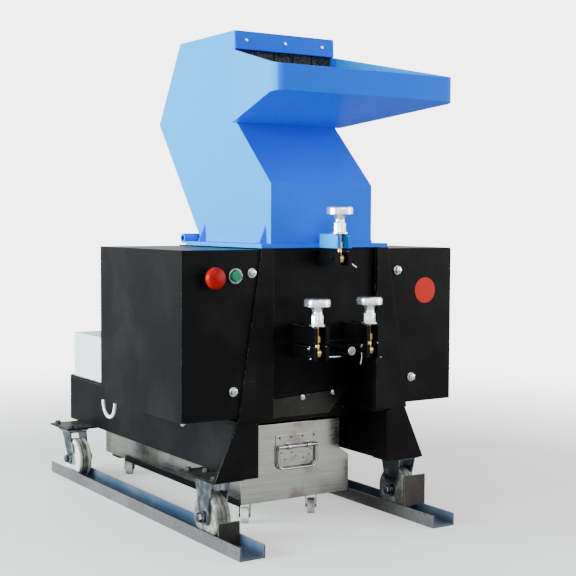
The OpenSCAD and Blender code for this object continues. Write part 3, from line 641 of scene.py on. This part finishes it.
class FinishCastors(DressNodes, bpy.types.Operator):
    """Gives the castors their plating and nylon"""

    bl_idname = "crusher.finish_castors"
    bl_label = "Castors"
    nodes = {
        "castor_plates": "black_paint", "front_castor_forks": "zinc_steel",
        "rear_castor_forks": "zinc_steel",
    }

    def execute(self, context):
        for end, side, tread in (("front", "dirty_nylon", "dirty_nylon"),
                                 ("rear", "nylon", "rolled_nylon")):
            for hand in ("left", "right"):
                node = f"wheel_{end}_{hand}"
                low, high = (Vector(corner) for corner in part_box(node))
                centre, radius = (low + high) / 2, (high.z - low.z) / 2
                reach = (high.x - low.x) * (0.26 if end == "rear" else 0.5)

                def rolling(middle, normal, centre=centre, radius=radius, reach=reach):
                    out = math.hypot(middle.y - centre.y, middle.z - centre.z)
                    return out > radius * 0.9 and abs(middle.x - centre.x) < reach

                dress(node, side, second=tread, chosen=rolling)
        return super().execute(context)


class FinishBase(DressNodes, bpy.types.Operator):
    """Paints the base frame and the deck"""

    bl_idname = "crusher.finish_base"
    bl_label = "Base frame"
    nodes = {name: "black_paint" for name in (
        "base_side_left", "base_side_right", "base_leg_left", "base_leg_right", "base_front",
        "base_rear", "deck_plate")}


class FinishChamber(DressNodes, bpy.types.Operator):
    """Finishes the cutting chamber, the rotor and the screen cradle"""

    bl_idname = "crusher.finish_chamber"
    bl_label = "Cutting chamber"
    nodes = {
        "upper_leg_left": "black_paint", "upper_leg_right": "black_paint",
        "chamber_side_left": "black_paint", "chamber_side_right": "black_paint",
        "chamber_front": "black_paint", "chamber_rear": "black_paint", "rotor": "tool_steel",
        "fixed_knives": "tool_steel", "screen": "tool_steel", "screen_cradle": "black_paint",
        # The deflector plate's near-black finish is painted shade and painted dark reflection
        "cradle_handle": "zinc_steel", "deflector_plate": "deflector_painted_shade",
    }


class FinishClamps(DressNodes, bpy.types.Operator):
    """Finishes the swing bolts, knobs and ears"""

    bl_idname = "crusher.finish_clamps"
    bl_label = "Clamps"
    nodes = {
        "clamp_ears": "black_paint", "swing_bolt_top": "yellow_zinc",
        "swing_bolt_left": "yellow_zinc", "swing_bolt_right": "yellow_zinc",
        "knob_top": "knob_silver", "knob_left": "knob_silver", "knob_right": "knob_silver",
    }


class FinishGuards(DressNodes, bpy.types.Operator):
    """Paints the belt guards and finishes the buttons"""

    bl_idname = "crusher.finish_guards"
    bl_label = "Belt guards and buttons"
    nodes = {
        "guard_left": "black_paint", "guard_right": "black_paint", "button_bezels": "zinc_steel",
        "stop_button": "stop_plastic", "start_button": "green_plastic",
    }


class FinishHopper(DressNodes, bpy.types.Operator):
    """Paints the hopper and its tray, with painted light on their sideways faces, and finishes the
    curtain
    """

    bl_idname = "crusher.finish_hopper"
    bl_label = "Hopper"
    nodes = {"guard_strip": "blue_paint", "curtain": "black_rubber"}

    def execute(self, context):
        # Sideways faces take the painted-light copy of the blue
        def painted_light_face(middle, normal):
            return abs(normal.x) > 0.7

        for node in ("hopper_shell", "hopper_flange", "hopper_tray"):
            dress(node, "blue_paint", second="blue_painted_light", chosen=painted_light_face)
        return super().execute(context)


class FinishBin(DressNodes, bpy.types.Operator):
    """Finishes the roll-out bin"""

    bl_idname = "crusher.finish_bin"
    bl_label = "Bin"
    nodes = {
        "bin_box": "stainless", "bin_frame": "black_paint", "bin_castors": "nylon",
        "bin_castor_forks": "zinc_steel", "handle_plate": "stainless", "bin_handle": "chromed",
    }


class FinishDeck(DressNodes, bpy.types.Operator):
    """Finishes the motor and the control cabinet"""

    bl_idname = "crusher.finish_deck"
    bl_label = "Motor and cabinet"
    nodes = {"control_cabinet": "white_paint", "motor": "motor_paint"}


class AddCoverBolts(bpy.types.Operator):
    """Bolts on the guards, the deflector plate and the castor plates"""

    bl_idname = "crusher.add_cover_bolts"
    bl_label = "Bolts"

    def execute(self, context):
        size = context.scene.crusher_sizes.cover_bolt
        bm = bmesh.new()
        for i, (x, z) in enumerate(((-167, 507), (-206, 289), (172, 506), (209, 289))):
            add_hex_bolt(bm, place(x, 0, z), (0, -1, 0), size, 0.3 * i)
        add_hex_bolt(bm, place(-305, 8, 238), (0, 0, -1), 0.007)
        keep(bm, "cover_bolts", "frame", "bright_zinc")
        bm = bmesh.new()
        for x, z in ((5.4, 251.5), (79, 255.8)):
            add_hex_bolt(bm, place(x, 89, z), (0, -1, 0), 0.008)
        keep(bm, "deflector_bolts", "frame", "bright_zinc")
        bm = bmesh.new()
        plates = bmesh.new()
        for side in (-1, 1):
            for x, y in ((206, 28), (206, 103), (230, 28), (230, 130), (244, 682), (244, 762)):
                add_hex_bolt(plates, place(side * x, y, 122), (0, 0, 1), 0.011, x)
            for y in (52, 698):
                for turn in (-1, 1):
                    add_hex_bolt(bm, place(side * 220 + turn * 24, y, 49), (turn, 0, 0), 0.016, 0.4)
        keep(bm, "axle_nuts", "frame", "zinc_steel")
        keep(plates, "plate_bolts", "frame", "dark_steel")
        return {"FINISHED"}


class AddPins(bpy.types.Operator):
    """Split pins through the ends of the clamp pins, and the copper sleeve of the top bolt"""

    bl_idname = "crusher.add_pins"
    bl_label = "Split pins"

    def execute(self, context):
        bm = bmesh.new()
        wires = (
            [(18.6, -45, 541), (18.6, -45, 528), (24, -52, 522), (30, -58, 516)],
            [(-41.4, -60, 365), (-41.4, -62, 354), (-38, -66, 350), (-26, -70, 350),
             (-14, -72, 351)],
            [(78.6, -60, 366), (78.6, -60, 351), (80, -64, 346), (81, -70, 343)],
            [(41.4, -60, 364), (41.4, -61, 354), (40, -63, 345), (39.5, -62, 334), (39, -60, 330)],
            [(-78.6, -60, 366), (-78.6, -60, 352), (-80, -66, 348), (-81, -72, 350)],
        )
        eye = 0.0028
        for points in wires:
            points = [place(*point) for point in points]
            add_wire(bm, points, 0.0016)
            ring = [points[0] + Vector((0, eye * math.sin(a), eye - eye * math.cos(a)))
                    for a in (math.tau * k / 12 for k in range(13))]
            add_wire(bm, ring, 0.0009, 6)
        keep(bm, "split_pins", "frame", "bright_zinc", 60)
        bm = bmesh.new()
        add_post(bm, place(0, -45, 568), (0, 0, 1), 0.0052, 0.016)
        keep(bm, "copper_sleeve", "top_clamp", "copper")
        return {"FINISHED"}


class AddHopperDetails(bpy.types.Operator):
    """Screws on the guard strip, ribs above the flange, and welds beside the tray"""

    bl_idname = "crusher.add_hopper_details"
    bl_label = "Hopper screws and ribs"

    def execute(self, context):
        bm = bmesh.new()
        for x in (-92, -2, 87):
            add_hex_bolt(bm, place(x, 150.6, 957.3), (0, -1, 0.066), 0.006, x)
        keep(bm, "strip_screws", "hopper", "bright_zinc")
        bm = bmesh.new()
        flange_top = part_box("hopper_shell")[0][2] * 1000
        for side in (-1, 1):
            for y in (30, 268):
                corners = [(side * 116.5, flange_top - 0.2), (side * 131, flange_top - 0.2),
                           (side * 131, flange_top + 3), (side * 116.5, flange_top + 36)]
                front = [bm.verts.new(place(x, y, z)) for x, z in corners]
                rear = [bm.verts.new(place(x, y + 4, z)) for x, z in corners]
                bm.faces.new(front)
                bm.faces.new(list(reversed(rear)))
                for k in range(4):
                    bm.faces.new((front[k], rear[k], rear[(k + 1) % 4], front[(k + 1) % 4]))
        bmesh.ops.recalc_face_normals(bm, faces=bm.faces)
        keep(bm, "hopper_ribs", "hopper", "blue_paint")
        bm = bmesh.new()
        for side in (-1, 1):
            corners = [bm.verts.new(place(side * x, y - back, z))
                       for x, y, z in ((116.4, 140.2, 795.5), (126.2, 140.2, 795.5),
                                       (116.4, 149.8, 938.2), (123.4, 149.8, 938.2))
                       for back in (0, 3)]
            bmesh.ops.convex_hull(bm, input=corners)
        keep(bm, "tray_weld_strips", "hopper", "blue_paint")
        return {"FINISHED"}


# How far the handle's hinge stands in front of its plate, less the rivets' depth in the plate
HINGE_REACH = 11.0


class AddBinDetails(bpy.types.Operator):
    """Rivets and small screws of the handle plate"""

    bl_idname = "crusher.add_bin_details"
    bl_label = "Bin rivets"

    def execute(self, context):
        bm = bmesh.new()
        plate_front = (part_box("handle_plate")[0][1] - FRONT_Y) * 1000 + HINGE_REACH
        for x in (-40, -13, 14, 41):
            add_dome(bm, place(x, plate_front, 171), (0, -1, 0), 0.0024, 0.0012)
        for x, z in ((-12, 140), (-2, 132), (16, 127), (30, 132), (-28, 127), (-36, 141),
                     (34, 143)):
            add_dome(bm, place(x, plate_front, z), (0, -1, 0), 0.0017, 0.0010)
        keep(bm, "handle_rivets", "bin", "dark_rivet")
        return {"FINISHED"}


# Route of the cable from inside the left guard, through its floor, along its rear wall and over
# the deck into the cabinet's gland, in millimetres
CABLE_ROUTE = (
    (-304, 304, 258), (-304, 304, 245), (-304, 304, 232), (-304, 308, 218), (-304, 318, 207.5),
    (-304, 332.5, 203.5), (-304, 347, 207.5), (-304, 357, 218), (-304, 361, 232),
    (-304, 361, 244), (-304, 361, 256), (-300, 361, 270), (-290, 361, 280), (-276, 361, 284),
    (-258, 361, 284), (-240, 361, 284), (-222, 361, 284), (-205, 361, 284), (-188, 361, 284),
    (-172, 361, 283), (-158, 365, 281), (-148, 375, 277.5), (-144, 389, 271), (-143, 403, 261),
    (-142, 417, 250), (-142, 431, 241), (-142, 446, 235), (-142, 462, 232.8), (-143, 479, 232.6),
    (-144, 496, 232.6), (-145, 513, 232.6), (-146, 530, 232.8), (-146, 546, 235),
    (-146, 561, 239.5), (-146, 575, 243.5), (-146, 588, 245), (-146, 600, 245),
)


def smooth_route(points, steps=4):
    """Points on a smooth curve through the given ones"""
    ends = [2 * points[0] - points[1], *points, 2 * points[-1] - points[-2]]
    found = []
    for a, b, c, d in zip(ends, ends[1:], ends[2:], ends[3:]):
        for k in range(steps):
            t = k / steps
            found.append(0.5 * (2 * b + (c - a) * t + (2 * a - 5 * b + 4 * c - d) * t ** 2
                                + (3 * b - 3 * c + d - a) * t ** 3))
    return found + [points[-1]]


CABLE_RADIUS = 0.0035


class AddCable(bpy.types.Operator):
    """The cable between the buttons and the cabinet, its clips and its gland nut"""

    bl_idname = "crusher.add_cable"
    bl_label = "Cable"

    def execute(self, context):
        route = smooth_route([place(*point) for point in CABLE_ROUTE])
        bm = bmesh.new()
        add_wire(bm, route, CABLE_RADIUS, 16)
        cable = keep(bm, "cable", "frame", "white_cable", 60)
        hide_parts("cable_loop")
        bm = bmesh.new()
        for x in (-262, -196):
            add_post(bm, place(x, 360.6, 284), (1, 0, 0), CABLE_RADIUS + 0.0011, 0.009, 24)
            add_block(bm, place(x, 356, 292), (0.009, 0.0018, 0.016))
            add_dome(bm, place(x, 356.9, 295), (0, 1, 0), 0.0028, 0.0015)
        keep(bm, "cable_clips", "frame", "bright_zinc")
        bm = bmesh.new()
        add_post(bm, place(-146, 606.5, 245), (0, 1, 0), 0.0092, 0.007, 6)
        keep(bm, "gland_nut", "frame", "white_cable")
        return {"FINISHED"}


class AddDeckDetails(bpy.types.Operator):
    """The cabinet's lock and hinges, bolts of motor and guard tail, plugs in the side beams"""

    bl_idname = "crusher.add_deck_details"
    bl_label = "Deck details"

    def execute(self, context):
        low, high = (Vector(corner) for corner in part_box("control_cabinet"))
        bm = bmesh.new()
        lock = Vector((low.x + 0.020, high.y + 0.002, (low.z + high.z) / 2))
        add_post(bm, lock, (0, 1, 0), 0.0085, 0.004, tip=0.0075)
        add_block(bm, lock + Vector((0, 0.0025, 0)), (0.010, 0.003, 0.0026))
        for z in (low.z + 0.022, high.z - 0.022):
            add_post(bm, Vector((high.x - 0.004, high.y - 0.0005, z)), (0, 0, 1), 0.0028, 0.018, 20)
        keep(bm, "cabinet_fittings", "frame", "bright_zinc")

        bm = bmesh.new()
        motor_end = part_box("motor")[0][0]
        motor_y = place(0, 640, 0).y
        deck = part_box("deck_plate")[1][2]
        for x in (motor_end + 0.034, motor_end + 0.200):
            for y in (motor_y - 0.086, motor_y + 0.086):
                add_hex_bolt(bm, Vector((x, y, deck)), (0, 0, 1), 0.010, x * 9)
        tail_side = 0.292
        for y in (place(0, 385, 0).y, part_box("guard_right")[1][1] - 0.016):
            for z in (0.405, 0.255):
                add_hex_bolt(bm, Vector((tail_side, y, z)), (1, 0, 0), 0.010, y * 90)
        keep(bm, "deck_bolts", "frame", "bright_zinc")

        bm = bmesh.new()
        for name in ("base_side_left", "base_side_right"):
            low, high = (Vector(corner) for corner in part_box(name))
            side = -1 if low.x < 0 else 1
            inner, outer = sorted((low.x, high.x), key=abs)
            width = abs(outer - inner) - 0.0045
            middle = Vector((inner + side * width / 2, high.y - 0.0030, (low.z + high.z) / 2))
            add_block(bm, middle, (width, 0.005, high.z - low.z - 0.009))
        keep(bm, "beam_plugs", "frame", "black_rubber")
        return {"FINISHED"}


class AddRedDisc(bpy.types.Operator):
    """A plain red disc on the right guard"""

    bl_idname = "crusher.add_red_disc"
    bl_label = "Red disc"

    def execute(self, context):
        bm = bmesh.new()
        radius = context.scene.crusher_sizes.disc / 2
        add_post(bm, place(244, -0.3, 464), (0, -1, 0), radius, 0.0006, 64)
        keep(bm, "red_disc", "frame", "red_plastic")
        return {"FINISHED"}


class SetStudio(bpy.types.Operator):
    """Floor, soft lights and the camera at the photograph's angle"""

    bl_idname = "crusher.set_studio"
    bl_label = "Studio"

    def add_light(self, name, at, aim, size, power, colour=(1, 1, 1)):
        light = bpy.data.lights.new(name, "AREA")
        light.shape = "RECTANGLE"
        light.size, light.size_y = size
        light.energy = power
        light.color = colour
        lamp = bpy.data.objects.new(name, light)
        lamp.location = at
        lamp.rotation_euler = (Vector(aim) - Vector(at)).to_track_quat("-Z", "Y").to_euler()
        bpy.context.scene.collection.objects.link(lamp)

    def execute(self, context):
        studio = context.scene.crusher_studio
        bm = bmesh.new()
        bmesh.ops.create_grid(bm, x_segments=1, y_segments=1, size=9)
        mesh = bpy.data.meshes.new("studio_floor")
        bm.to_mesh(mesh)
        bm.free()
        floor = bpy.data.objects.new("studio_floor", mesh)
        context.scene.collection.objects.link(floor)
        pale = bpy.data.materials.new("studio_floor")
        pale.use_nodes = True
        tree = pale.node_tree
        shader = tree.nodes["Principled BSDF"]
        shader.inputs["Roughness"].default_value = 0.6
        seen = tree.nodes.new("ShaderNodeLightPath").outputs["Is Camera Ray"]
        tone = mix(tree, seen, (0.50, 0.50, 0.50, 1), (0.92, 0.92, 0.92, 1))
        tree.links.new(tone, shader.inputs["Base Color"])
        length = tree.nodes.new("ShaderNodeVectorMath")
        length.operation = "LENGTH"
        tree.links.new(tree.nodes.new("ShaderNodeTexCoord").outputs["Object"], length.inputs[0])
        far = ramp(tree, length.outputs["Value"], 0.7, 2.6, 0.12, 1.0)
        glow = tree.nodes.new("ShaderNodeEmission")
        glow.inputs["Strength"].default_value = 5.0
        blend = tree.nodes.new("ShaderNodeMixShader")
        tree.links.new(maths(tree, "MULTIPLY", far, seen), blend.inputs[0])
        tree.links.new(shader.outputs[0], blend.inputs[1])
        tree.links.new(glow.outputs[0], blend.inputs[2])
        tree.links.new(blend.outputs[0], tree.nodes["Material Output"].inputs["Surface"])
        mesh.materials.append(pale)

        world = bpy.data.worlds.new("studio_world")
        context.scene.world = world
        world.use_nodes = True
        tree = world.node_tree
        soft = tree.nodes["Background"]
        soft.inputs["Color"].default_value = (0.93, 0.94, 0.96, 1)
        bright = ramp(tree, tree.nodes.new("ShaderNodeLightPath").outputs["Is Glossy Ray"], 0, 1,
                      studio.fill, studio.shine)
        tree.links.new(bright, soft.inputs["Strength"])
        seen = tree.nodes.new("ShaderNodeBackground")
        seen.inputs["Color"].default_value = (1, 1, 1, 1)
        seen.inputs["Strength"].default_value = 5.0
        blend = tree.nodes.new("ShaderNodeMixShader")
        path = tree.nodes.new("ShaderNodeLightPath")
        tree.links.new(path.outputs["Is Camera Ray"], blend.inputs[0])
        tree.links.new(soft.outputs[0], blend.inputs[1])
        tree.links.new(seen.outputs[0], blend.inputs[2])
        tree.links.new(blend.outputs[0], tree.nodes["World Output"].inputs["Surface"])

        self.add_light("key_left", (-3.8, 0.6, 1.15), (0, 0.1, 0.6), (2.6, 1.6), studio.key,
                       (0.86, 1.0, 1.0))
        self.add_light("front_soft", (-0.2, -3.2, 2.4), (0, 0, 0.6), (2.4, 1.6), 38)
        self.add_light("right_soft", (2.5, -1.7, 1.1), (0, 0, 0.5), (1.4, 1.8), 52)
        self.add_light("strip_left", (-1.9, -2.1, 1.3), (0, -0.2, 0.5), (0.18, 1.6), 5)
        self.add_light("strip_right", (1.5, -2.6, 1.3), (0, -0.2, 0.5), (0.18, 1.6), 5)
        self.add_light("top_soft", (0.0, 0.2, 3.2), (0, 0, 0.5), (2.2, 2.2), 22)

        eye = place(-1295.5, -1889.0, 606.8)
        az, el = studio.azimuth, studio.elevation
        ahead = Vector((math.sin(az) * math.cos(el), math.cos(az) * math.cos(el), -math.sin(el)))
        right = ahead.cross(Vector((0, 0, 1))).normalized()
        up = right.cross(ahead)
        lean_right = right * math.cos(studio.roll) + up * math.sin(studio.roll)
        lean_up = up * math.cos(studio.roll) - right * math.sin(studio.roll)
        lens = bpy.data.cameras.new("photo_camera")
        lens.sensor_width = 36
        lens.lens = studio.lens
        lens.clip_end = 50
        camera = bpy.data.objects.new("photo_camera", lens)
        turn = Matrix((lean_right, lean_up, -ahead)).transposed().to_4x4()
        camera.matrix_world = Matrix.Translation(eye) @ turn
        context.scene.collection.objects.link(camera)
        context.scene.camera = camera
        return {"FINISHED"}


STEPS = (
    FinishRails, FinishCastors, FinishBase, FinishChamber, FinishClamps, FinishGuards,
    FinishHopper, FinishBin, FinishDeck, AddCoverBolts, AddPins, AddHopperDetails, AddBinDetails,
    AddCable, AddDeckDetails, AddRedDisc, SetStudio,
)


class CrusherPanel(bpy.types.Panel):
    """Buttons and settings for the crusher's looks"""

    bl_idname = "VIEW3D_PT_crusher"
    bl_label = "Plastic crusher"
    bl_space_type = "VIEW_3D"
    bl_region_type = "UI"
    bl_category = "Crusher"

    def draw(self, context):
        scene = context.scene
        for group in (scene.crusher_finish, scene.crusher_sizes, scene.crusher_studio):
            box = self.layout.box()
            for name in group.bl_rna.properties.keys():
                if name not in {"rna_type", "name"}:
                    box.prop(group, name)
        for step in STEPS:
            self.layout.operator(step.bl_idname)


GROUP_PROPS = {
    "crusher_finish": CrusherFinish, "crusher_sizes": CrusherSizes, "crusher_studio": CrusherStudio,
}


def register():
    for kind in (*GROUP_PROPS.values(), *STEPS, CrusherPanel):
        bpy.utils.register_class(kind)
    for name, kind in GROUP_PROPS.items():
        setattr(bpy.types.Scene, name, bpy.props.PointerProperty(type=kind))


def unregister():
    for name in GROUP_PROPS:
        delattr(bpy.types.Scene, name)
    for kind in reversed((*GROUP_PROPS.values(), *STEPS, CrusherPanel)):
        bpy.utils.unregister_class(kind)


def main():
    register()
    make_finishes()
    for step in STEPS:
        group, name = step.bl_idname.split(".")
        getattr(getattr(bpy.ops, group), name)()


if __name__ == "__main__":
    main()
